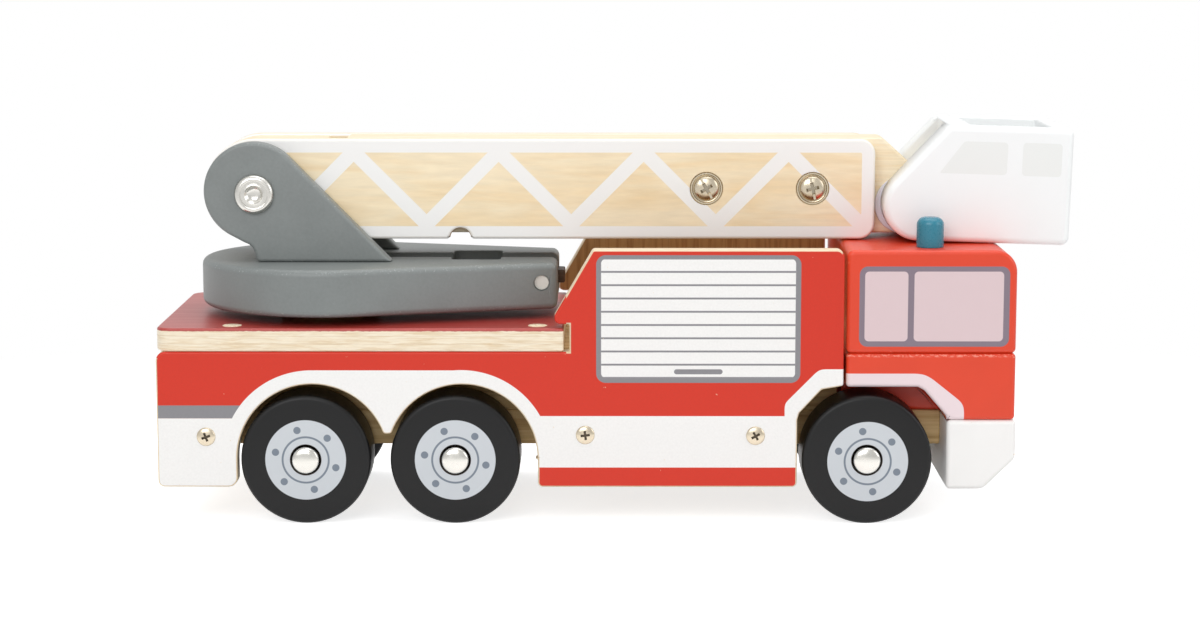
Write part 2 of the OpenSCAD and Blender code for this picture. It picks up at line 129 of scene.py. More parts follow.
class Field:
    """A number that varies over a surface, made of Math nodes."""

    def __init__(self, tree, socket):
        self.tree = tree
        self.socket = socket

    def math(self, kind, *others, clamp=False):
        node = self.tree.nodes.new("ShaderNodeMath")
        node.operation = kind
        node.use_clamp = clamp
        for place, value in enumerate((self,) + others):
            if isinstance(value, Field):
                self.tree.links.new(value.socket, node.inputs[place])
            else:
                node.inputs[place].default_value = value
        return Field(self.tree, node.outputs[0])

    def __add__(self, other):
        return self.math("ADD", other)

    def __sub__(self, other):
        return self.math("SUBTRACT", other)

    def __mul__(self, other):
        return self.math("MULTIPLY", other)

    def flip(self):
        return self.math("MULTIPLY", -1.0)

    def size(self):
        return self.math("ABSOLUTE")

    def least(self, other):
        return self.math("MINIMUM", other)

    def most(self, other):
        return self.math("MAXIMUM", other)

    def blunt_most(self, other, width):
        return self.math("SMOOTH_MAX", other, width)

    def length(self, other):
        return (self * self + other * other).math("SQRT")

    def zigzag(self, half):
        return self.math("PINGPONG", half)


def disc(x, z, centre_x, centre_z, radius):
    return (x - centre_x).length(z - centre_z) - radius


def slab(x, z, x0, z0, x1, z1, radius=0.0):
    """Signed distance to an upright box with rounded corners."""
    across = (x - (x0 + x1) / 2).size() - ((x1 - x0) / 2 - radius)
    up = (z - (z0 + z1) / 2).size() - ((z1 - z0) / 2 - radius)
    outside = across.most(0.0).length(up.most(0.0))
    return outside + across.most(up).least(0.0) - radius


def beyond(x, z, x0, z0, x1, z1):
    """Signed distance to the line from 0 to 1, positive on its left."""
    run = math.hypot(x1 - x0, z1 - z0)
    nx, nz = -(z1 - z0) / run, (x1 - x0) / run
    return x * nx + z * nz - (x0 * nx + z0 * nz)


def inside(distance, blur=0.12):
    """1 inside a shape and 0 outside, with a printed edge's softness."""
    return distance.math("MULTIPLY_ADD", -1.0 / blur, 0.5, clamp=True)


class Finish:
    """A material under construction: its tree, coordinates and colour so far."""

    def __init__(self, name, roughness=0.5, metal=0.0, coat=0.0, coat_rough=0.2, spec=0.5):
        self.material = bpy.data.materials.new(name)
        self.material.use_nodes = True
        self.tree = self.material.node_tree
        self.shader = self.tree.nodes["Principled BSDF"]
        self.shader.inputs["Roughness"].default_value = roughness
        self.shader.inputs["Metallic"].default_value = metal
        self.shader.inputs["Coat Weight"].default_value = coat
        self.shader.inputs["Coat Roughness"].default_value = coat_rough
        self.shader.inputs["Specular IOR Level"].default_value = spec
        where = self.node("ShaderNodeTexCoord")
        shift = self.node("ShaderNodeVectorMath", "MULTIPLY_ADD")
        self.link(where.outputs["Object"], shift.inputs[0])
        shift.inputs[1].default_value = (1 / MM, 1 / MM, 1 / MM)
        shift.inputs[2].default_value = (-TAIL / MM, 0, 0)
        self.mm = shift.outputs[0]
        split = self.node("ShaderNodeSeparateXYZ")
        self.link(self.mm, split.inputs[0])
        self.x, self.y, self.z = (Field(self.tree, out) for out in split.outputs)
        self.height = None
        self.colour = None

    def node(self, kind, operation=None):
        made = self.tree.nodes.new(kind)
        if operation:
            made.operation = operation
        return made

    def link(self, start, end):
        self.tree.links.new(start, end)

    def noise(self, size, detail=3.0, rough=0.5, stretch=(1, 1, 1), seed=0.0, warp=0.0):
        """Noise whose features are about `size` mm, drawn out by `stretch`."""
        spot = self.node("ShaderNodeMapping")
        spot.inputs["Location"].default_value = (seed, seed * 0.7, seed * 1.3)
        spot.inputs["Scale"].default_value = tuple(1 / (size * s) for s in stretch)
        self.link(self.mm, spot.inputs["Vector"])
        made = self.node("ShaderNodeTexNoise")
        made.inputs["Scale"].default_value = 1.0
        made.inputs["Detail"].default_value = detail
        made.inputs["Roughness"].default_value = rough
        made.inputs["Distortion"].default_value = warp
        self.link(spot.outputs[0], made.inputs["Vector"])
        return Field(self.tree, made.outputs["Fac"])

    def spread(self, field, low, high, to_low=0.0, to_high=1.0):
        """A field's low..high stretched to another range and clamped."""
        made = self.node("ShaderNodeMapRange")
        for place, value in zip(("From Min", "From Max", "To Min", "To Max"),
                                (low, high, to_low, to_high)):
            made.inputs[place].default_value = value
        self.link(field.socket, made.inputs["Value"])
        return Field(self.tree, made.outputs["Result"])

    def tint(self, colour, mask=None):
        """Lays a colour over what is there, where the mask is 1."""
        if self.colour is None:
            base = self.node("ShaderNodeRGB")
            base.outputs[0].default_value = colour
            self.colour = base.outputs[0]
            return self
        mix = self.node("ShaderNodeMix")
        mix.data_type = "RGBA"
        self.link(self.colour, mix.inputs["A"])
        if isinstance(colour, bpy.types.NodeSocket):
            self.link(colour, mix.inputs["B"])
        else:
            mix.inputs["B"].default_value = colour
        if isinstance(mask, Field):
            self.link(mask.socket, mix.inputs["Factor"])
        else:
            mix.inputs["Factor"].default_value = 1.0 if mask is None else mask
        self.colour = mix.outputs["Result"]
        return self

    def shade(self, field, low=0.9, high=1.1):
        """Darkens and lightens the colour by a field that runs 0 to 1."""
        factor = self.spread(field, 0.25, 0.75, low, high)
        made = self.node("ShaderNodeVectorMath", "SCALE")
        self.link(self.colour, made.inputs[0])
        self.link(factor.socket, made.inputs["Scale"])
        self.colour = made.outputs[0]
        return self

    def bump(self, field, depth):
        """Adds relief of `depth` mm."""
        scaled = field * depth
        self.height = scaled if self.height is None else self.height + scaled
        return self

    def edge(self, note="edge"):
        """1 along the rounded edges of a piece, 0 on its faces; or another
        note kept on its points, as "recess" in the screw heads."""
        made = self.node("ShaderNodeAttribute")
        made.attribute_name = note
        return Field(self.tree, made.outputs["Fac"])

    def done(self, rough=None):
        self.link(self.colour, self.shader.inputs["Base Color"])
        if rough is not None:
            self.link(rough.socket, self.shader.inputs["Roughness"])
        if self.height is not None:
            relief = self.node("ShaderNodeBump")
            relief.inputs["Strength"].default_value = 1.0
            relief.inputs["Distance"].default_value = MM
            self.link(self.height.socket, relief.inputs["Height"])
            self.link(relief.outputs[0], self.shader.inputs["Normal"])
        return self.material


def grain(paint, pale, dark, along=(30, 1, 1), size=1.6, seed=0.0):
    """Lays long wood grain and fine pores on a finish."""
    broad = paint.noise(size, 4, 0.55, along, seed, 0.6)
    fine = paint.noise(size / 4, 3, 0.6, along, seed + 9)
    paint.tint(pale)
    paint.tint(dark, paint.spread(broad, 0.42, 0.72))
    paint.shade(fine, 0.93, 1.05)
    paint.bump(fine, 0.02)
    return broad


def satin(paint, seed=0.0, mottle=0.035, relief=0.012, speckle=0.0):
    """The small unevenness of brushed and sprayed paint."""
    cloud = paint.noise(14, 3, 0.5, seed=seed)
    skin = paint.noise(0.9, 2, 0.5, seed=seed + 3)
    paint.shade(cloud, 1 - mottle, 1 + mottle)
    if speckle:
        paint.shade(skin, 1 - speckle, 1 + speckle)
    paint.bump(skin, relief)
    return skin


def edge_wear_and_highlight(paint, colour, seed=0.0, wear_and_highlight_start=0.62, size=2.6):
    """Lighter paint in broken dashes along the rounded edges: partly rubbed thin paint, partly
    painted highlight.
    """
    wear_and_highlight_mask = paint.edge() * paint.noise(size, 3, 0.6, seed=seed)
    paint.tint(colour, paint.spread(wear_and_highlight_mask, wear_and_highlight_start, wear_and_highlight_start + 0.06))


def plies(paint, depth, sheet, seed=0.0, along=(12, 1, 12), dark=0.55, glue=0.45):
    """Plywood seen on its edge; `depth` is the field across the sheets."""
    grain(paint, PLY_PALE, PLY_DARK, along, 0.8, seed)
    wave = paint.noise(9, 2, seed=seed + 5)
    layer = (depth + (wave - 0.5) * 0.25).zigzag(sheet)
    paint.tint(PLY_DARK, paint.spread(layer, sheet * 0.45, sheet * 0.62) * dark)
    paint.tint(PLY_BROWN_AND_SHADE, inside(layer - 0.05, 0.14) * glue)


# ---------------------------------------------------------------- finishes

def panel_finish():
    """Printed plywood side: red and white livery with a roller shutter."""
    paint = Finish("printed_side_panel", roughness=0.42, spec=0.45)
    x, z = paint.x, paint.z
    across = paint.y.size()
    board = 6
    plies(paint, across - (HALF_W - board), board / 5, 2.0)
    # The sides' faces within the body are bare plywood coloured a deeper tan with streaks, as
    # painted shade.
    inner_face_shade = inside(across - (HALF_W - board + 0.06), 0.04)
    paint.tint(PLY_BROWN_AND_SHADE, inner_face_shade)
    inner_shade_streaks = paint.noise(1.5, 4, 0.55, (1, 1, 18), 4.0, 0.5)
    paint.tint(rgb(150, 108, 62), inner_face_shade * paint.spread(inner_shade_streaks, 0.45, 0.7))

    livery = copy.copy(paint)
    livery.colour = None
    livery.tint(RED)
    tail_front = 40
    stripe_z, stripe_half = 35.45, 2.05
    stripe = (z - stripe_z).size() - stripe_half
    livery.tint(PRINT_GREY, inside(stripe.most(x - tail_front)))
    rear_arch, middle_arch, arch_r = (47.8, 20.4), (94.2, 20.5), 28.2
    arches = disc(x, z, *rear_arch, arch_r).least(disc(x, z, *middle_arch, arch_r))
    bridge_x, bridge_half, bridge_top = 71, 23.6, 48.6
    bridge = ((x - bridge_x).size() - bridge_half).most(z - bridge_top)
    tail_top, skirt_top = 33.4, 34.2
    tail = (z - tail_top).most(x - tail_front)
    skirt = (z - skirt_top).most((x - tail_front).flip())
    front_x, front_top = 195.0, 49
    slope = beyond(x, z, 196.9, 40.1, 204, 47.3)
    front = ((x - front_x).flip()).blunt_most(slope, 1.5).blunt_most(z - front_top, 2.0)
    white = arches.least(bridge).least(tail).least(skirt).least(front)
    livery.tint(WHITE, inside(white))
    band_top, band_x = 17.9, 114
    livery.tint(RED, inside((z - band_top).most((x - band_x).flip())))
    shutter_frame, shutter_box = (136.3, 44.7, 199.75, 84.7), (137.85, 46.3, 198.1, 83.5)
    livery.tint(PRINT_GREY, inside(slab(x, z, *shutter_frame, 3.0)))
    shutter = slab(x, z, *shutter_box, 1.4)
    livery.tint(WHITE, inside(shutter))
    first_line, half_slat, half_line = 46.28, 2.076, 0.3
    lines = ((z - first_line).zigzag(half_slat) - half_line).most(shutter)
    livery.tint(PRINT_GREY, inside(lines, 0.1))
    handle = (160.5, 47.4, 175.6, 49.0)
    livery.tint(PRINT_GREY, inside(slab(x, z, *handle, 0.8)))
    weave = livery.noise(0.7, 2, seed=7)
    livery.shade(weave, 0.965, 1.02)

    # The print runs over the edges that lie against the deck and the cab.
    deck_z, deck_x, cab_x = 52.5, 127, 212.5
    joined = inside((z - deck_z).flip()) * inside(x - deck_x)
    joined = joined.most(inside((x - cab_x).flip()))
    face = livery.spread(across + joined * 0.7, HALF_W - 0.10, HALF_W - 0.04)
    wear = livery.spread(livery.noise(1.2, 3, seed=11), 0.2, 0.24)
    paint.tint(livery.colour, face * wear)
    paint.bump(weave, 0.01)
    return paint.done(paint.spread(weave, 0.2, 0.8, 0.36, 0.5))


def deck_finish():
    """Plywood deck, red on top and bare at its edge."""
    paint = Finish("red_deck", roughness=0.45, coat=0.5, coat_rough=0.3, spec=0.5)
    low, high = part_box("deck")
    top = high.z / MM
    plies(paint, paint.z - low.z / MM, 1.235, 8.0, (12, 12, 1), 0.12, 0.6)
    rag = paint.noise(1.8, 3, seed=3) * 0.5
    cover = paint.spread(paint.z + rag, top - 0.75, top - 0.6)
    red = paint.noise(1.3, 4, 0.6, (26, 1, 1), 6.0)
    paint.tint(DECK_RED, cover)
    paint.tint(rgb(158, 44, 36), cover * paint.spread(red, 0.42, 0.72) * 0.6)
    speck = paint.noise(0.5, 2, seed=13)
    paint.tint(rgb(214, 120, 104), cover * paint.spread(speck, 0.66, 0.74) * 0.5)
    paint.bump(red, 0.04)
    return paint.done(paint.spread(red, 0.3, 0.7, 0.38, 0.52))


def cab_finish():
    """Red cab paint with printed windows and arch stripe."""
    paint = Finish("red_cab", roughness=0.33, spec=0.5)
    x, y, z = paint.x, paint.y, paint.z
    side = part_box("cab_upper")[1].y / MM
    paint.tint(CAB_RED)
    skin = satin(paint, 1.0)
    # Lighter dashes along the rounded edges: partly rubbed paint, partly painted highlight.
    edge_wear_and_highlight(paint, rgb(238, 110, 84), 2.0, 0.7)
    seam_z, seam_half = 52.8, 0.5
    seam = inside((z - seam_z).size() - seam_half) * paint.edge()
    dashes = paint.noise(0.5, 3, 0.6, (2, 2, 1), 5.0)
    paint.tint(rgb(246, 160, 140), seam * paint.spread(dashes, 0.5, 0.58) * 0.8)
    flank = paint.spread(y.size(), side - 0.10, side - 0.04)
    window = slab(x, z, 218.0, 55.8, 264.65, 80.95, 2.6)
    paint.tint(FRAME_GREY, inside(window) * flank)
    pane_low, pane_high = 57.5, 79.35
    panes = slab(x, z, 219.7, pane_low, 233.1, pane_high, 1.3)
    panes = panes.least(slab(x, z, 235.0, pane_low, 262.75, pane_high, 1.3))
    paint.tint(PANE_PINK, inside(panes) * flank)
    arch = beyond(x, z, 237.3, 48.6, 249.0, 39.3)
    arch = arch.blunt_most(z - 47.3, 3.0).blunt_most(x - 251.1, 3.0)
    wrap = paint.spread(y.size(), side - 1.2, side - 1.1)
    paint.tint(STRIPE_PINK, inside(arch.most(z - 53)) * wrap)
    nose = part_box("cab_upper")[1].x
    prow = paint.spread(x, (nose - TAIL) / MM - 0.10, (nose - TAIL) / MM - 0.04)
    paint.tint(FRAME_GREY, inside(slab(y, z, -33, 56.2, 33, 78.2, 2.6)) * prow)
    paint.tint(PANE_PINK, inside(slab(y, z, -31.4, 57.9, 31.4, 76.6, 1.3)) * prow)
    lamp_y, lamp_z, lamp_r, lamp_rim = 28, 43.6, 5.2, 1.5
    lamps = disc(y.size(), z, lamp_y, lamp_z, lamp_r)
    paint.tint(FRAME_GREY, inside(lamps) * prow)
    paint.tint(WHITE, inside(lamps + lamp_rim) * prow)
    bars = ((z - 40.0).zigzag(1.8) - 0.5).most(slab(y, z, -18, 38.2, 18, 48.8, 1.0))
    paint.tint(FRAME_GREY, inside(bars) * prow)
    return paint.done(paint.spread(skin, 0.2, 0.8, 0.28, 0.4))


def truss_finish():
    """White boom plate with a zigzag lattice printed round bare wood."""
    paint = Finish("boom_plate", roughness=0.42, spec=0.45)
    x, z = paint.x, paint.z
    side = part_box("boom_plate_left")[1].y / MM
    grain(paint, rgb(250, 233, 200), rgb(245, 219, 175), (20, 1, 3), 2.2, 3.0)
    flank = paint.spread(paint.y.size(), side - 0.10, side - 0.04)
    window = slab(x, z, 36, 90.45, 220.7, 113.97, 0.6)
    step, rise, first_peak, peak_z, half_strut = 23.05, 23.15, 59.1, 114.25, 2.3
    centre = (x - first_peak + 8 * step).zigzag(step) * (-rise / step) + peak_z
    lattice = (z - centre).size() * math.cos(math.radians(44.3)) - half_strut
    white = lattice.least(window.flip())
    mask = inside(white)
    edge_white = paint.edge() * 0.9
    paint.tint(WHITE, mask.most(edge_white) * flank.most(edge_white))
    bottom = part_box("boom_plate_left")[0].z / MM
    notch_x, notch_r = 92.9, 3.65
    paint.tint(PLY_BROWN_AND_SHADE, inside(disc(x, z, notch_x, bottom, notch_r)))
    return paint.done(paint.spread(paint.noise(1.5, 2), 0.2, 0.8, 0.36, 0.5))


def painted(name, colour, rough, edge_colour, seed, mottle=0.035, relief=0.012, wear_and_highlight_start=0.62,
            speckle=0.0, wear_and_highlight_size=2.6):
    """One colour of satin paint on shaped wood, with lighter dashes along its rounded edges that
    are partly rubbed paint and partly painted highlight.
    """
    paint = Finish(name, roughness=rough, spec=0.5)
    paint.tint(colour)
    skin = satin(paint, seed, mottle, relief, speckle)
    edge_wear_and_highlight(paint, edge_colour, seed + 1, wear_and_highlight_start, wear_and_highlight_size)
    return paint.done(paint.spread(skin, 0.2, 0.8, rough - 0.06, rough + 0.08))


def basket_finish():
    """White basket with two pale printed windows on each side."""
    paint = Finish("white_basket", roughness=0.4, spec=0.45)
    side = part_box("basket")[1].y / MM
    hang_x, hang_z = mid("basket_pin", 0), mid("basket_pin", 2)
    dx, dz = paint.x - hang_x, paint.z - hang_z
    u = dx * math.cos(BASKET_LEAN) - dz * math.sin(BASKET_LEAN)
    w = dx * math.sin(BASKET_LEAN) + dz * math.cos(BASKET_LEAN)
    paint.tint(rgb(248, 250, 250))
    skin = satin(paint, 21.0, 0.012, 0.008)
    flank = paint.spread(paint.y.size(), side - 0.10, side - 0.04)
    window_low, window_high = 11.7, 21.95
    rear = slab(u, w, 7.3, window_low, 30.5, window_high, 1.2)
    rear = rear.blunt_most(beyond(u, w, 9.3, window_low, 16.8, window_high), 1.0)
    fore = slab(u, w, 35.2, 11.6, 47.6, 22.05, 1.2)
    paint.tint(WINDOW_PALE, inside(rear.least(fore)) * flank)
    return paint.done(paint.spread(skin, 0.2, 0.8, 0.36, 0.46))


def wheel_finish(name, centre_x, centre_z, first_dot, slip):
    """Black wheel with a round printed hub: a ring and six nuts.
    `slip` is how far the label sits off the wheel's middle."""
    paint = Finish(name, roughness=0.4, spec=0.3)
    middle = (paint.x - centre_x).length(paint.z - centre_z)
    dx, dz = paint.x - (centre_x + slip[0]), paint.z - (centre_z + slip[1])
    out = dx.length(dz)
    face = paint.spread(paint.y.size(), WHEEL_Y - 0.10, WHEEL_Y - 0.04)
    paint.tint(BLACK)
    skin = satin(paint, 31.0, 0.08, 0.012)
    # Lighter dashes along the rounded edges: partly rubbed paint, partly painted highlight.
    edge_wear_and_highlight(paint, rgb(84, 82, 80), 32.0, 0.66)
    label_r, ring_r, half_ring, dots_r, dot_r, hole_r = 12.6, 7.2, 0.31, 9.7, 1.15, 4.9
    paint.tint(LABEL, inside(out - label_r) * face)
    ring = (out - ring_r).size() - half_ring
    angle = dz.math("ARCTAN2", dx) - math.radians(first_dot)
    swing = angle.math("PINGPONG", math.radians(30))
    dots = (out * swing.math("COSINE") - dots_r).length(out * swing.math("SINE")) - dot_r
    paint.tint(DOT_GREY, inside(ring.least(dots)) * face)
    # The inside of the hub bore is coloured deep umber as painted shade.
    hole_shade = inside(middle - hole_r) * inside(paint.y.size() - (WHEEL_Y - 0.2))
    paint.tint(rgb(60, 50, 42), hole_shade)
    return paint.done(paint.spread(skin, 0.2, 0.8, 0.34, 0.46))


def wooden(name, pale, dark, along, size, seed, rough=0.62):
    """Bare wood with its grain along one axis."""
    paint = Finish(name, roughness=rough, spec=0.35)
    broad = grain(paint, pale, dark, along, size, seed)
    return paint.done(paint.spread(broad, 0.3, 0.7, rough - 0.06, rough + 0.08))


def metallic(name, colour, rough, seed, recess=0.0):
    """Plated steel with faint stains; `recess` sets how strongly a screw's cross is darkened as
    painted shade.
    """
    paint = Finish(name, roughness=rough, metal=1.0)
    paint.tint(colour)
    cloud = paint.noise(3, 3, seed=seed)
    paint.shade(cloud, 0.94, 1.03)
    if recess:
        paint.tint(rgb(70, 62, 52), paint.edge("recess") * recess)
    fine = paint.noise(0.4, 2, seed=seed + 1)
    paint.bump(fine, 0.0008)
    return paint.done(paint.spread(cloud, 0.25, 0.75, rough - 0.06, rough + 0.1))


PANEL = panel_finish()
DECK = deck_finish()
CAB = cab_finish()
TRUSS = truss_finish()
BASKET = basket_finish()
TABLE = painted("grey_turntable", TABLE_GREY, 0.42, rgb(152, 157, 156), 41.0, 0.05, 0.035, 0.6,
                0.04, 0.7)
EARS = painted("grey_bracket", EAR_GREY, 0.42, rgb(158, 163, 161), 45.0, 0.05, 0.03, 0.6,
               0.04, 0.7)
BUMPER = painted("white_bumper", WHITE, 0.38, rgb(226, 214, 196), 51.0, 0.02, 0.01, 0.66)
PEG = painted("teal_peg", TEAL, 0.28, rgb(96, 160, 174), 55.0, 0.05, 0.01, 0.7)
PINE = wooden("bare_pine", PINE_PALE, PINE_DARK, (30, 1, 1), 2.4, 61.0)
BIRCH = wooden("bare_birch", BIRCH_PALE, BIRCH_DARK, (28, 1.5, 1), 2.0, 65.0, 0.5)
PLUG = wooden("end_grain_plug", rgb(245, 232, 206), rgb(214, 184, 142), (1, 1, 1), 0.8, 71.0)
# The prop bar is pale plywood coloured a deep wood tone as painted shade, standing in for the
# shadow of its groove.
PROP_SHADE_WOOD = wooden("dark_prop", rgb(98, 74, 56), rgb(58, 44, 34), (24, 1, 1), 1.4, 75.0, 0.45)
STEEL = metallic("plated_steel", rgb(214, 212, 206), 0.22, 81.0)
# The screw and bolt finishes paint shade into the cross recess of each head.
NICKEL = metallic("nickel_screw", rgb(206, 194, 172), 0.26, 85.0, 0.95)
BOLT = metallic("nickel_bolt", rgb(206, 194, 172), 0.24, 87.0, 0.4)
PIN = metallic("rough_pin", rgb(206, 203, 196), 0.5, 95.0)
SHIM = painted("pale_shim", rgb(234, 233, 242), 0.4, rgb(242, 242, 247), 91.0, 0.02, 0.005)


# ---------------------------------------------------------------- shaping

def settle(obj):
    """Turns a piece with modifiers into a plain mesh."""
    bpy.context.view_layer.update()
    seen = obj.evaluated_get(bpy.context.evaluated_depsgraph_get())
    plain = bpy.data.meshes.new_from_object(seen)
    plain.name = obj.name
    obj.modifiers.clear()
    obj.data = plain
    return obj


def link(name, mesh):
    obj = bpy.data.objects.new(name, mesh)
    bpy.context.scene.collection.objects.link(obj)
    return obj


def mark_edges(obj, slot):
    """Notes which points lie inside a rounded edge, for the paint's wear and painted highlight."""
    mesh = obj.data
    count = len(mesh.vertices)
    flat = [False] * count
    for face in mesh.polygons:
        if face.material_index != slot:
            for v in face.vertices:
                flat[v] = True
        face.material_index = 0
    note = mesh.attributes.new("edge", "FLOAT", "POINT")
    note.data.foreach_set("value", [0.0 if f else 1.0 for f in flat])


def clean_copy(node):
    """A CAD node's mesh with its triangles joined into plain faces."""
    work = bmesh.new()
    work.from_mesh(frame["nodes"][node].data)
    bmesh.ops.remove_doubles(work, verts=work.verts, dist=2e-6)
    bmesh.ops.dissolve_limit(work, angle_limit=math.radians(1.0), verts=work.verts,
                             edges=work.edges, use_dissolve_boundaries=False)
    return work


def outline(node, axis):
    """The outer corners of a board's flat face, in order round it."""
    work = bmesh.new()
    work.from_mesh(frame["nodes"][node].data)
    bmesh.ops.remove_doubles(work, verts=work.verts, dist=2e-6)
    top = max(v.co[axis] for v in work.verts)
    face = {f for f in work.faces if all(top - v.co[axis] < 1e-6 for v in f.verts)}
    rim = [e for f in face for e in f.edges if sum(g in face for g in e.link_faces) == 1]
    beside = {}
    for e in rim:
        for v in e.verts:
            beside.setdefault(v, []).append(e.other_vert(v))
    loops, left = [], set(beside)
    while left:
        start = min(left, key=lambda v: tuple(v.co))
        loop, last, here = [start], None, start
        while True:
            step = [v for v in beside[here] if v is not last and (v is start or v in left)]
            left.discard(here)
            last, here = here, step[0] if step else start
            if here is start:
                break
            loop.append(here)
        loops.append([v.co.copy() for v in loop])
    work.free()
    longest = max(loops, key=lambda l: sum((p - q).length for p, q in zip(l, l[1:] + l[:1])))
    corners = []
    for i, p in enumerate(longest):
        before, after = p - longest[i - 1], longest[(i + 1) % len(longest)] - p
        if before.angle(after, 0) > math.radians(0.4):
            corners.append(p)
    return corners


def board_mesh(corners, axis, low, high):
    """A plain board: one outline swept from low to high along an axis."""
    work = bmesh.new()
    ends = []
    for level in (low, high):
        ring = []
        for p in corners:
            spot = p.copy()
            spot[axis] = level
            ring.append(work.verts.new(spot))
        ends.append(ring)
        work.faces.new(ring)
    for i in range(len(corners)):
        j = (i + 1) % len(corners)
        work.faces.new((ends[0][i], ends[0][j], ends[1][j], ends[1][i]))
    bmesh.ops.recalc_face_normals(work, faces=work.faces)
    return work


def soften(obj, radius, steps=4, angle=32):
    """Rounds a piece's sharp edges and notes where they are."""
    material = obj.data.materials[0]
    obj.data.materials.append(material)
    spare = len(obj.data.materials) - 1
    bevel = obj.modifiers.new("round", "BEVEL")
    bevel.width = radius * MM
    bevel.segments = steps
    bevel.limit_method = "ANGLE"
    bevel.angle_limit = math.radians(angle)
    bevel.use_clamp_overlap = False
    bevel.miter_outer = "MITER_SHARP"
    bevel.material = spare
    settle(obj)
    mark_edges(obj, spare)
    obj.data.materials.pop()
    return obj


def carve(obj, cutter):
    """Cuts the shapes in a bmesh out of a piece."""
    bmesh.ops.recalc_face_normals(cutter, faces=cutter.faces)
    mesh = bpy.data.meshes.new("cutter")
    cutter.to_mesh(mesh)
    cutter.free()
    tool = link("cutter", mesh)
    cut = obj.modifiers.new("cut", "BOOLEAN")
    cut.operation = "DIFFERENCE"
    cut.solver = "EXACT"
    cut.object = tool
    settle(obj)
    bpy.data.objects.remove(tool)
    return obj


def hand_over(obj, *parts):
    """Smooths a piece, lets it stand for CAD nodes and ride their body."""
    finish_shape(obj)
    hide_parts(*parts)
    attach(obj, frame["nodes"][parts[0]]["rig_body"])
    slot_of(parts[0])
    return obj


def piece(name, work, material):
    mesh = bpy.data.meshes.new(name)
    work.to_mesh(mesh)
    work.free()
    mesh.materials.clear()
    mesh.materials.append(material)
    return link(name, mesh)


def rounded(name, node, material, radius, steps=4, angle=32):
    """A CAD node with its sharp edges rounded, standing for that node."""
    obj = piece(name, clean_copy(node), material)
    soften(obj, radius, steps, angle)
    return hand_over(obj, node)


def rounded_board(name, node, axis, material, radius, steps=4):
    """A board made from a node's outer outline, with rounded edges."""
    low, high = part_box(node)
    obj = piece(name, board_mesh(outline(node, axis), axis, low[axis], high[axis]), material)
    return soften(obj, radius, steps)


def carve_block(obj, x0, x1, half_w, z0, z1, corner=0.0, matrix=None):
    """Cuts out a block, in mm, with its upright edges rounded if asked."""
    work = bmesh.new()
    low, high = at(x0, -half_w, z0), at(x1, half_w, z1)
    verts = [work.verts.new((x, y, z)) for z in (low.z, high.z)
             for x, y in ((low.x, low.y), (high.x, low.y), (high.x, high.y), (low.x, high.y))]
    for face in BOX_FACES:
        work.faces.new([verts[i] for i in face])
    if corner:
        upright = [e for v in verts[:4] for e in v.link_edges if e.other_vert(v) in verts[4:]]
        bmesh.ops.bevel(work, geom=upright, offset=corner * MM, segments=5, profile=0.5,
                        affect="EDGES")
    if matrix is not None:
        bmesh.ops.transform(work, matrix=matrix, verts=work.verts)
    carve(obj, work)


def slot_of(node):
    for part in frame["record"]["subparts"]:
        if part["node"] == node:
            return part["material_slot"]
    return None


def finish_shape(obj):
    """Smooth shading that keeps broad faces flat."""
    for face in obj.data.polygons:
        face.use_smooth = True
    weigh = obj.modifiers.new("weigh", "WEIGHTED_NORMAL")
    weigh.keep_sharp = True
    weigh.weight = 100
    settle(obj)


def arc(centre_r, centre_h, radius, start, end, steps=5):
    """Points of an arc in a turned profile, angles in degrees."""
    return [(centre_r + radius * math.cos(math.radians(a)),
             centre_h + radius * math.sin(math.radians(a)))
            for a in (start + (end - start) * i / steps for i in range(steps + 1))]


def turn(work, profile, origin, axis, steps=72, closed=False):
    """Turns a profile of (radius, height) points in mm about an axis."""
    axis = Vector(axis).normalized()
    side = axis.orthogonal().normalized()
    other = axis.cross(side)
    rings = []
    for r, h in profile:
        base = origin + axis * (h * MM)
        if r < 1e-6:
            rings.append([work.verts.new(base)])
            continue
        rings.append([work.verts.new(base + (side * math.cos(t) + other * math.sin(t)) * (r * MM))
                      for t in (2 * math.pi * i / steps for i in range(steps))])
    pairs = list(zip(rings, rings[1:]))
    if closed:
        pairs.append((rings[-1], rings[0]))
    for a, b in pairs:
        for i in range(steps):
            j = (i + 1) % steps
            corners = [a[i % len(a)], a[j % len(a)], b[j % len(b)], b[i % len(b)]]
            unique = list(dict.fromkeys(corners))
            if len(unique) > 2:
                work.faces.new(unique)


def carve_bore(obj, radius, start, end, origin, axis, steps=40):
    """Cuts out a round hole, in mm, from start to end along an axis."""
    work = bmesh.new()
    turn(work, [(0, start), (radius, start), (radius, end), (0, end)], origin, axis, steps)
    carve(obj, work)


def turned(name, material, parts, node, body, steps=72, closed=False):
    """One piece made of turned shapes, standing for a CAD node."""
    work = bmesh.new()
    for profile, origin, axis in parts:
        turn(work, profile, origin, axis, steps, closed)
    bmesh.ops.recalc_face_normals(work, faces=work.faces)
    mesh = bpy.data.meshes.new(name)
    work.to_mesh(mesh)
    work.free()
    mesh.materials.append(material)
    obj = link(name, mesh)
    for face in mesh.polygons:
        face.use_smooth = True
    mesh.set_sharp_from_angle(angle=math.radians(35))
    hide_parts(node)
    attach(obj, body)
    slot_of(node)
    return obj


# ---------------------------------------------------------------- body and cab

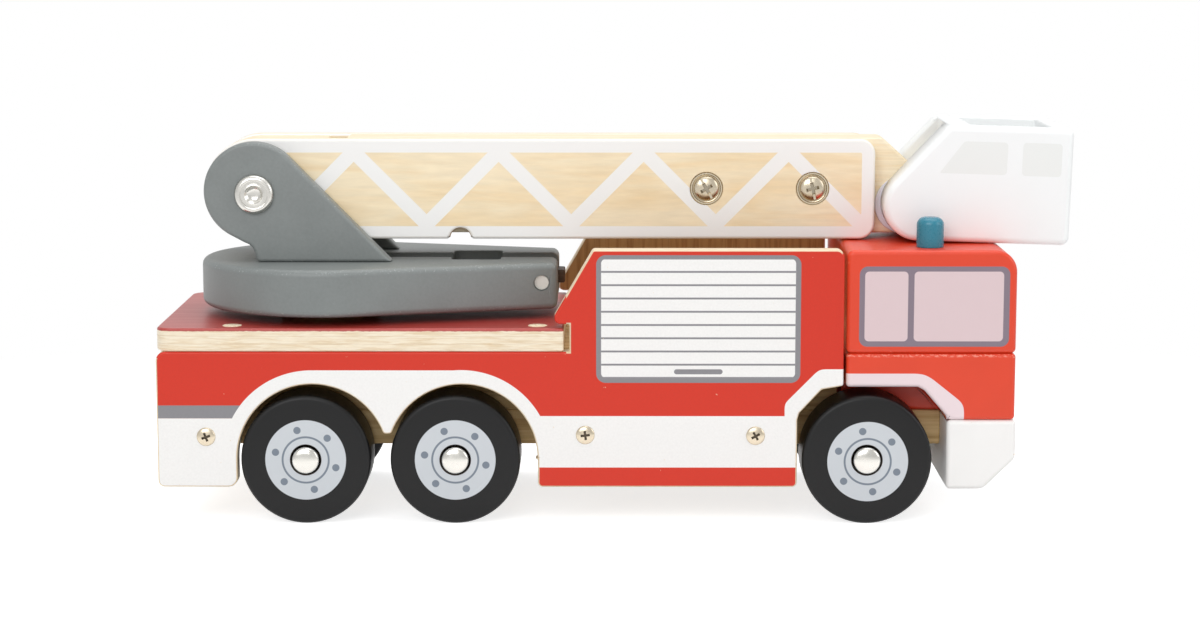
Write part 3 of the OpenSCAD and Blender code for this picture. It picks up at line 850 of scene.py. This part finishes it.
for side in ("right", "left"):
    panel = rounded_board("printed_panel_" + side, "side_panel_" + side, 1, PANEL, 0.7, 3)
    hand_over(panel, "side_panel_" + side)
hand_over(rounded_board("red_deck_board", "deck", 2, DECK, 0.8, 3), "deck")
rounded("pine_chassis", "chassis_board", PINE, 0.5, 2)
rounded("pine_core", "body_core", PINE, 0.5, 2)
rounded("pine_axle_blocks", "axle_blocks", PINE, 0.5, 2)
rounded("cab_top_block", "cab_upper", CAB, 1.5, 4)
rounded("cab_bottom_block", "cab_lower", CAB, 1.3, 4)
rounded("white_bumper_block", "bumper", BUMPER, 1.5, 4)
rounded("turntable_spacer", "turntable_washer", PINE, 0.5, 2)
rounded("swivel_bolt_head", "swivel_bolt", STEEL, 0.3, 2)
rounded("axle_rods", "axles", STEEL, 0.3, 2)

# ---------------------------------------------------------------- turntable and ladder

NOSE_CORNER = 2.6


def turntable_outline():
    """Round end and tapered nose of the turntable, seen from above."""
    low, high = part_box("turntable")
    radius = high.y
    centre = low.x + radius
    tip = [v.co for v in frame["nodes"]["turntable"].data.vertices if high.x - v.co.x < 1e-6]
    half = max(abs(p.y) for p in tip)
    reach = math.hypot(high.x - centre, half)
    bend = math.atan2(half, high.x - centre) + math.acos(radius / reach)
    steps = 80
    ring = [Vector((centre + radius * math.cos(a), radius * math.sin(a), 0))
            for a in (bend + (2 * math.pi - 2 * bend) * i / steps for i in range(steps + 1))]
    nose = []
    corner = NOSE_CORNER * MM
    for turn_y, start in ((-1, -math.pi / 2), (1, 0)):
        for i in range(7):
            a = start + math.pi / 2 * i / 6
            nose.append(Vector((high.x - corner + corner * math.cos(a),
                                turn_y * (half - corner) + corner * math.sin(a), 0)))
    return ring + nose


HINGE_X, HINGE_Z = mid("prop_pin", 0), mid("prop_pin", 2)
TABLE_LOW, TABLE_TOP = (corner.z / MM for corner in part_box("turntable"))
GROOVE_Z = TABLE_TOP - 9
GROOVE_X, GROOVE_HALF = 66, 5.8
FORK_X = 110
PAST_NOSE = 130
PAST = 2
POCKET_XS, POCKET_HALF, POCKET_CORNER = (89.7, 105.5), 12, 1.5
BORE_R, SINK_R, HINGE_R = 3.05, 6.6, 2.55
low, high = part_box("turntable")
table = piece("grey_turntable_board", board_mesh(turntable_outline(), 2, low.z, high.z), TABLE)
soften(table, 2.2, 5, 50)
carve_block(table, GROOVE_X, PAST_NOSE, GROOVE_HALF, GROOVE_Z, TABLE_TOP + PAST)
carve_block(table, FORK_X, PAST_NOSE, GROOVE_HALF, TABLE_LOW - PAST, TABLE_TOP + PAST)
carve_block(table, *POCKET_XS, POCKET_HALF, GROOVE_Z, TABLE_TOP + PAST, POCKET_CORNER)
soften(table, 0.45, 2, 55)
swivel = Vector(next(j["pos_m"] for j in frame["joints"] if j["name"] == "turntable_swivel"))
carve_bore(table, BORE_R, 0, 40, Vector((swivel.x, 0, 0.05)), (0, 0, 1))
carve_bore(table, SINK_R, 0, 9, Vector((swivel.x, 0, (TABLE_TOP - 5) * MM)), (0, 0, 1))
carve_bore(table, HINGE_R, -30, 30, at(HINGE_X, 0, HINGE_Z), (0, 1, 0))
hand_over(table, "turntable")

for side in ("right", "left"):
    bracket = rounded_board("bracket_" + side, "ear_" + side, 1, EARS, 1.2, 4)
    hand_over(bracket, "ear_" + side)
# The prop bar's deep wood tone is painted shade.
rounded("prop_bar", "prop", PROP_SHADE_WOOD, 0.6, 3)
rounded("prop_hinge_pin", "prop_pin", PIN, 0.3, 2)

GUIDE_XS = (171.3, 205.1)
GUIDE_Z = mid("boom_bolts", 2)
BOOM_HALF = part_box("boom_plate_left")[1].y / MM
RING_R = 5.35
for side, facing in (("right", -1), ("left", 1)):
    plate = rounded_board("truss_plate_" + side, "boom_plate_" + side, 1, TRUSS, 1.0, 4)
    for guide_x in GUIDE_XS:
        carve_bore(plate, RING_R, -1.6, 2, at(guide_x, facing * BOOM_HALF, GUIDE_Z),
                   (0, facing, 0), 56)
    hand_over(plate, "boom_plate_" + side)
rounded("boom_rear_block", "boom_spacer", BIRCH, 0.5, 2)
rounded("sliding_beam", "ladder_beam", BIRCH, 1.0, 3)

# Basket, measured from its pivot pin and leaning with it.
FORK_FRONT = 11.92
WELL = (19.32, 44.8)
WELL_HALF, WELL_FLOOR = 18, -5.1
FORK_HALF = 9
low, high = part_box("basket")
cage = piece("basket_block", board_mesh(outline("basket", 1), 1, low.y, high.y), BASKET)
soften(cage, 2.1, 5)
hang = at(mid("basket_pin", 0), 0, mid("basket_pin", 2))
tilt = (Matrix.Translation(hang) @ Matrix.Rotation(BASKET_LEAN, 4, "Y")
        @ Matrix.Translation(-at(0, 0, 0)))
carve_block(cage, *WELL, WELL_HALF, WELL_FLOOR, 50, 1.5, tilt)
soften(cage, 0.7, 3, 50)
carve_block(cage, -30, FORK_FRONT, FORK_HALF, -40, 50, matrix=tilt)
hand_over(cage, "basket")
SHIM_R = 9.2
washer = [(2.6, 0), (SHIM_R - 0.2, 0), (SHIM_R, 0.2), (SHIM_R, 0.8), (SHIM_R - 0.2, 1), (2.6, 1)]
washers = [(washer, at(mid("basket_pin", 0), facing * 8, mid("basket_pin", 2)), (0, facing, 0))
           for facing in (-1, 1)]
turned("basket_washers", SHIM, washers, "basket_shims", "basket", 56, True)
rounded("basket_hinge_pin", "basket_pin", STEEL, 0.3, 2)

# ---------------------------------------------------------------- turned pieces

WHEEL_R = (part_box("wheel_rear_left")[1].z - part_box("wheel_rear_left")[0].z) / 2 / MM
WHEEL_T = (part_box("wheel_rear_left")[1].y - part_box("wheel_rear_left")[0].y) / MM
AXLE_R = (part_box("axles")[1].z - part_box("axles")[0].z) / 2 / MM
HUB_HOLE_R = 4.7
HUB_HOLE_DEPTH = 6.0
WHEEL_EDGE = 1.4
LABEL_RING_R = 12.62

wheel_profile = (
    [(AXLE_R + 0.05, 0.3), (AXLE_R + 0.35, 0)]
    + arc(WHEEL_R - WHEEL_EDGE, WHEEL_EDGE, WHEEL_EDGE, -90, 0, 6)
    + arc(WHEEL_R - WHEEL_EDGE, WHEEL_T - WHEEL_EDGE, WHEEL_EDGE, 0, 90, 6)
    + [(LABEL_RING_R, WHEEL_T), (HUB_HOLE_R + 0.3, WHEEL_T), (HUB_HOLE_R, WHEEL_T - 0.3)]
    + [(HUB_HOLE_R, WHEEL_T - HUB_HOLE_DEPTH), (AXLE_R + 0.05, WHEEL_T - HUB_HOLE_DEPTH)]
)
FIRST_DOTS = {"rear": -14.6, "middle": -9.5, "front": -20.0}
LABEL_SLIPS = {"rear": (0, 0), "middle": (0, 0), "front": (0.25, -0.45)}
for place, first_dot in FIRST_DOTS.items():
    centre_x = mid("wheel_%s_left" % place, 0)
    finish = wheel_finish("black_wheel_" + place, centre_x, WHEEL_R, first_dot,
                          LABEL_SLIPS[place])
    for side, facing in (("right", -1), ("left", 1)):
        body = "wheel_%s_%s" % (place, side)
        hub = at(centre_x, facing * (WHEEL_Y - WHEEL_T), WHEEL_R)
        turned("turned_" + body, finish, [(wheel_profile, hub, (0, facing, 0))], body, body,
               96, True)

CAP_R = (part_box("axle_caps")[1].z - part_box("axle_caps")[0].z) / 2 / MM
CAP_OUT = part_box("axle_caps")[1].y / MM
CAP_LONG = 8.3
cap_profile = [(0, 0), (CAP_R - 0.2, 0), (CAP_R, 0.2), (CAP_R, 7.1), (CAP_R - 0.2, 7.5),
               (CAP_R - 0.7, 7.8), (CAP_R - 1.8, 8.1), (1.1, 8.27), (0, CAP_LONG)]
caps = [(cap_profile, at(mid("wheel_%s_left" % place, 0), facing * (CAP_OUT - CAP_LONG), WHEEL_R),
         (0, facing, 0)) for place in FIRST_DOTS for facing in (-1, 1)]
turned("hub_caps", STEEL, caps, "axle_caps", "truck", 48)

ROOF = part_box("cab_upper")[1].z / MM
BEACON_R = (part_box("beacon_left")[1].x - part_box("beacon_left")[0].x) / 2 / MM
BEACON_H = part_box("beacon_left")[1].z / MM - ROOF
BEACON_DOME = 2.4
TENON_R, TENON_LONG = 2.45, 5.5
for side in ("right", "left"):
    node = "beacon_" + side
    tenon = [(0, -TENON_LONG), (TENON_R, -TENON_LONG), (TENON_R, 0)]
    peg = (tenon + [(BEACON_R - 0.15, 0), (BEACON_R, 0.15)]
           + arc(BEACON_R - BEACON_DOME, BEACON_H - BEACON_DOME, BEACON_DOME, 0, 90, 7)
           + [(0, BEACON_H)])
    turned("beacon_peg_" + side, PEG, [(peg, at(mid(node, 0), mid(node, 1), ROOF), (0, 0, 1))],
           node, "truck", 48)

DECK_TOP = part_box("deck")[1].z / MM
low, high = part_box("deck_plugs")
PLUG_R, PLUG_LONG = 3.0, 3.5
plug = [(0, -PLUG_LONG), (PLUG_R, -PLUG_LONG), (PLUG_R, 0.05), (PLUG_R - 0.15, 0.15), (0, 0.18)]
plugs = [(plug, Vector((px, py, DECK_TOP * MM)), (0, 0, 1))
         for px in (low.x + PLUG_R * MM, high.x - PLUG_R * MM)
         for py in (low.y + PLUG_R * MM, high.y - PLUG_R * MM)]
turned("deck_plug_dowels", PLUG, plugs, "deck_plugs", "truck", 40)

# ---------------------------------------------------------------- screws


def plus_shape(work, arm, wide, top, foot, taper):
    """A tapered plus-shaped block for cutting a cross recess, in mm."""
    ring = [(arm, -wide), (arm, wide), (wide, wide), (wide, arm), (-wide, arm), (-wide, wide),
            (-arm, wide), (-arm, -wide), (-wide, -wide), (-wide, -arm), (wide, -arm), (wide, -wide)]
    upper = [work.verts.new((x * MM, y * MM, top * MM)) for x, y in ring]
    narrow = 0.8
    lower = [work.verts.new((x * MM * taper, y * MM * narrow, foot * MM)) if abs(x) >= abs(y)
             else work.verts.new((x * MM * narrow, y * MM * taper, foot * MM)) for x, y in ring]
    work.faces.new(upper)
    work.faces.new(lower)
    for i in range(12):
        j = (i + 1) % 12
        work.faces.new((lower[i], lower[j], upper[j], upper[i]))


def cross_head(name, radius, rise, base=(), slot=0.0, low=0.06):
    """A domed screw head with a cross recess, along +Z from the origin.
    `base` is the turned profile below the dome, `slot` adds a full-width slot
    and `low` is how deep the recess may reach."""
    steps = 9
    arm, half_arm = radius * 0.64, radius * 0.15
    dome = list(base) or [(0, -0.6), (radius - 0.1, -0.6), (radius, -0.05)]
    foot = dome[-1][1]
    for i in range(steps + 1):
        a = math.pi / 2 * i / steps
        dome.append((radius * math.cos(a) if i < steps else 0, foot + (rise - foot) * math.sin(a)))
    work = bmesh.new()
    turn(work, dome, Vector((0, 0, 0)), (0, 0, 1), 48)
    bmesh.ops.recalc_face_normals(work, faces=work.faces)
    head = piece(name, work, NICKEL)
    floor = max(rise - radius * 0.4, low)
    cutter = bmesh.new()
    plus_shape(cutter, arm, half_arm, rise + 1, floor, 0.6)
    carve(head, cutter)
    # Points inside the cross recess, where the metal's finish paints shade.
    note = head.data.attributes.new("recess", "FLOAT", "POINT")
    note.data.foreach_set("value", [
        float(0.0 < math.hypot(v.co.x, v.co.y) < radius * 0.7 * MM
              and (floor - 0.02) * MM < v.co.z < rise * 0.45 * MM)
        for v in head.data.vertices])
    if slot:
        cutter = bmesh.new()
        slot_deep, slot_reach = 0.75, radius * 1.05
        corners = [(sx * slot_reach, sy * slot / 2, z) for z in (rise - slot_deep, rise + 2)
                   for sx, sy in ((-1, -1), (1, -1), (1, 1), (-1, 1))]
        verts = [cutter.verts.new((x * MM, y * MM, z * MM)) for x, y, z in corners]
        for face in BOX_FACES:
            cutter.faces.new([verts[i] for i in face])
        carve(head, cutter)
    for face in head.data.polygons:
        face.use_smooth = True
    head.data.set_sharp_from_angle(angle=math.radians(26))
    return head


def screw_tree():
    """Geometry Nodes that set a head on each point, turned to its facing."""
    tree = bpy.data.node_groups.new("set_screw_heads", "GeometryNodeTree")
    tree.interface.new_socket("Geometry", in_out="INPUT", socket_type="NodeSocketGeometry")
    tree.interface.new_socket("Head", in_out="INPUT", socket_type="NodeSocketObject")
    tree.interface.new_socket("Head Size", in_out="INPUT", socket_type="NodeSocketFloat")
    tree.interface.new_socket("Metal", in_out="INPUT", socket_type="NodeSocketMaterial")
    tree.interface.new_socket("Geometry", in_out="OUTPUT", socket_type="NodeSocketGeometry")
    made = {}
    for key, kind in (("start", "NodeGroupInput"), ("end", "NodeGroupOutput"),
                      ("head", "GeometryNodeObjectInfo"), ("place", "GeometryNodeInstanceOnPoints"),
                      ("facing", "GeometryNodeInputNamedAttribute"),
                      ("spin", "GeometryNodeInputNamedAttribute"),
                      ("aim", "FunctionNodeAlignRotationToVector"),
                      ("twist", "FunctionNodeAxisAngleToRotation"),
                      ("both", "FunctionNodeRotateRotation"),
                      ("real", "GeometryNodeRealizeInstances"),
                      ("coat", "GeometryNodeSetMaterial")):
        made[key] = tree.nodes.new(kind)
    made["facing"].data_type = "FLOAT_VECTOR"
    made["facing"].inputs["Name"].default_value = "facing"
    made["spin"].data_type = "FLOAT"
    made["spin"].inputs["Name"].default_value = "spin"
    made["aim"].axis = "Z"
    made["twist"].inputs["Axis"].default_value = (0, 0, 1)
    made["both"].rotation_space = "LOCAL"

    def join(a, out, b, into):
        tree.links.new(made[a].outputs[out], made[b].inputs[into])

    join("start", "Geometry", "place", "Points")
    join("start", "Head", "head", "Object")
    join("head", "Geometry", "place", "Instance")
    join("start", "Head Size", "place", "Scale")
    join("facing", "Attribute", "aim", "Vector")
    join("spin", "Attribute", "twist", "Angle")
    join("aim", "Rotation", "both", "Rotation")
    join("twist", "Rotation", "both", "Rotate By")
    join("both", "Rotation", "place", "Rotation")
    join("place", "Instances", "real", "Geometry")
    join("real", "Geometry", "coat", "Geometry")
    join("start", "Metal", "coat", "Material")
    join("coat", "Geometry", "end", "Geometry")
    return tree


SCREW_TREE = screw_tree()


def set_screws(name, head, spots, metal, node, body, size=1.0):
    """Screw heads at spots of (place, facing, spin), riding on a body."""
    mesh = bpy.data.meshes.new(name)
    mesh.from_pydata([tuple(spot[0]) for spot in spots], [], [])
    facing = mesh.attributes.new("facing", "FLOAT_VECTOR", "POINT")
    facing.data.foreach_set("vector", [c for spot in spots for c in spot[1]])
    spin = mesh.attributes.new("spin", "FLOAT", "POINT")
    spin.data.foreach_set("value", [spot[2] for spot in spots])
    obj = link(name, mesh)
    grow = obj.modifiers.new("heads", "NODES")
    grow.node_group = SCREW_TREE
    values = {"Head": head, "Head Size": size, "Metal": metal}
    for item in SCREW_TREE.interface.items_tree:
        if item.in_out == "INPUT" and item.name in values:
            grow[item.identifier] = values[item.name]
    settle(obj)
    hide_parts(node)
    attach(obj, body)
    slot_of(node)
    return obj


SCREWS = ((14.6, 27.6, 0.35), (132.9, 28.2, 0.12), (186.0, 28.0, 0.5))
SMALL_R, SMALL_RISE = 2.95, 0.9
small_head = cross_head("small_cross_head", SMALL_R, SMALL_RISE)
spots = [(at(x, facing * HALF_W, z), (0, facing, 0), spin)
         for x, z, spin in SCREWS for facing in (-1, 1)]
set_screws("panel_screw_heads", small_head, spots, NICKEL, "panel_screws", "truck")

BIG_R, BIG_RISE, BIG_LOW, SLOT_WIDE = 3.95, 1.0, -0.58, 0.75
ring_base = [(0, -1.5), (RING_R - 0.1, -1.5), (RING_R - 0.1, -0.35), (RING_R - 0.4, 0.0),
             (RING_R - 0.75, 0.0), (RING_R - 1.0, -0.5), (BIG_R + 0.1, -0.6), (BIG_R, -0.3)]
big_head = cross_head("big_cross_head", BIG_R, BIG_RISE, ring_base, SLOT_WIDE, BIG_LOW)
spots = [(at(x, facing * BOOM_HALF, GUIDE_Z), (0, facing, 0), spin)
         for x, spin in zip(GUIDE_XS, (-1.05, -1.35)) for facing in (-1, 1)]
set_screws("boom_bolt_heads", big_head, spots, BOLT, "boom_bolts", "boom")
for spare in (small_head, big_head):
    bpy.data.objects.remove(spare)

# The pivot bolt: a flanged head with a socket on each side.
low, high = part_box("ladder_pivot_bolt")
PIVOT_X, PIVOT_Z = mid("ladder_pivot_bolt", 0), mid("ladder_pivot_bolt", 2)
HEAD_R = (high.z - low.z) / 2 / MM
HEAD_OUT = high.y / MM
bolt_head = [(0, -4.0), (3, -4.0), (3, -1.9), (HEAD_R - 0.25, -1.9), (HEAD_R, -1.7),
             (HEAD_R, -1.2), (HEAD_R - 0.35, -0.55), (HEAD_R - 1.0, -0.12), (HEAD_R - 1.6, 0),
             (HEAD_R - 1.9, -0.12), (HEAD_R - 2.0, -0.4), (HEAD_R - 3.1, -0.45),
             (HEAD_R - 3.3, -0.35), (HEAD_R - 3.5, -0.5), (2.2, -1.3), (1.2, -1.7), (0, -1.75)]
pivot_heads = [(bolt_head, at(PIVOT_X, facing * HEAD_OUT, PIVOT_Z), (0, facing, 0))
               for facing in (-1, 1)]
turned("ladder_pivot_heads", STEEL, pivot_heads, "ladder_pivot_bolt", "turntable", 64)

# ---------------------------------------------------------------- studio

FLOOR_GREY = (0.72, 0.72, 0.72, 1)
FLOOR_LIFT = 0.76
FLOOR_REACH = 6.0
SKY_LIGHT = 0.6


def looked_at(tree):
    """1 for rays that look at a surface, straight, mirrored or through glass."""
    rays = tree.nodes.new("ShaderNodeLightPath")
    looks = Field(tree, rays.outputs["Is Camera Ray"])
    looks = looks.most(Field(tree, rays.outputs["Is Glossy Ray"]))
    return looks.most(Field(tree, rays.outputs["Is Transmission Ray"]))


def studio_floor():
    """A pale floor that reads as white and keeps the toy's shadow."""
    mesh = bpy.data.meshes.new("studio_floor")
    corners = [(x * FLOOR_REACH, y * FLOOR_REACH, 0)
               for x, y in ((-1, -1), (1, -1), (1, 1), (-1, 1))]
    mesh.from_pydata(corners, [], [(0, 1, 2, 3)])
    floor = link("studio_floor", mesh)
    material = bpy.data.materials.new("floor_white")
    material.use_nodes = True
    tree = material.node_tree
    tree.nodes.clear()
    out = tree.nodes.new("ShaderNodeOutputMaterial")
    matt = tree.nodes.new("ShaderNodeBsdfDiffuse")
    matt.inputs["Color"].default_value = FLOOR_GREY
    glow = tree.nodes.new("ShaderNodeEmission")
    looks = looked_at(tree)
    tree.links.new((looks * FLOOR_LIFT).socket, glow.inputs["Strength"])
    near = tree.nodes.new("ShaderNodeAddShader")
    tree.links.new(matt.outputs[0], near.inputs[0])
    tree.links.new(glow.outputs[0], near.inputs[1])
    plain = tree.nodes.new("ShaderNodeEmission")
    spot = tree.nodes.new("ShaderNodeTexCoord")
    split = tree.nodes.new("ShaderNodeSeparateXYZ")
    tree.links.new(spot.outputs["Object"], split.inputs[0])
    x, y = Field(tree, split.outputs[0]), Field(tree, split.outputs[1])
    far = (x.length(y * 1.3) - 0.2).math("MULTIPLY", 4.0, clamp=True)
    mix = tree.nodes.new("ShaderNodeMixShader")
    tree.links.new((far * looks).socket, mix.inputs[0])
    tree.links.new(near.outputs[0], mix.inputs[1])
    tree.links.new(plain.outputs[0], mix.inputs[2])
    tree.links.new(mix.outputs[0], out.inputs["Surface"])
    mesh.materials.append(material)


def softbox(name, place, aim, size, power):
    light = bpy.data.lights.new(name, "AREA")
    light.shape = "RECTANGLE"
    light.size, light.size_y = size
    light.energy = power
    lamp = bpy.data.objects.new(name, light)
    bpy.context.scene.collection.objects.link(lamp)
    lamp.location = place
    lamp.rotation_euler = (Vector(aim) - Vector(place)).to_track_quat("-Z", "Y").to_euler()


def studio_world():
    """White all round to look at, dimmer as a light."""
    world = bpy.data.worlds.new("studio")
    bpy.context.scene.world = world
    world.use_nodes = True
    tree = world.node_tree
    tree.nodes.clear()
    air = tree.nodes.new("ShaderNodeOutputWorld")
    sky = tree.nodes.new("ShaderNodeBackground")
    seen = tree.nodes.new("ShaderNodeMapRange")
    seen.inputs["To Min"].default_value = SKY_LIGHT
    seen.inputs["To Max"].default_value = 1.0
    tree.links.new(looked_at(tree).socket, seen.inputs["Value"])
    tree.links.new(seen.outputs["Result"], sky.inputs["Strength"])
    tree.links.new(sky.outputs[0], air.inputs["Surface"])


def studio_camera():
    data = bpy.data.cameras.new("camera")
    data.sensor_width = 36
    data.lens = 83.11
    data.clip_start = 0.05
    camera = bpy.data.objects.new("camera", data)
    bpy.context.scene.collection.objects.link(camera)
    camera.location = (TAIL + 139.54 * MM, -0.8916, 0.18894)
    camera.rotation_euler = (math.pi / 2 - 0.1453, 0, 0.0024)
    bpy.context.scene.camera = camera


studio_floor()
softbox("front_softbox", (-0.5, -1.6, 1.0), (0, 0, 0.06), (1.4, 1.0), 14)
softbox("top_softbox", (0.1, 0.1, 1.5), (0, 0, 0), (1.6, 1.2), 11.3)
softbox("right_softbox", (1.5, -0.5, 0.7), (0, 0, 0.06), (0.9, 0.9), 4.4)
studio_world()
studio_camera()
bpy.context.scene.view_settings.view_transform = "Standard"
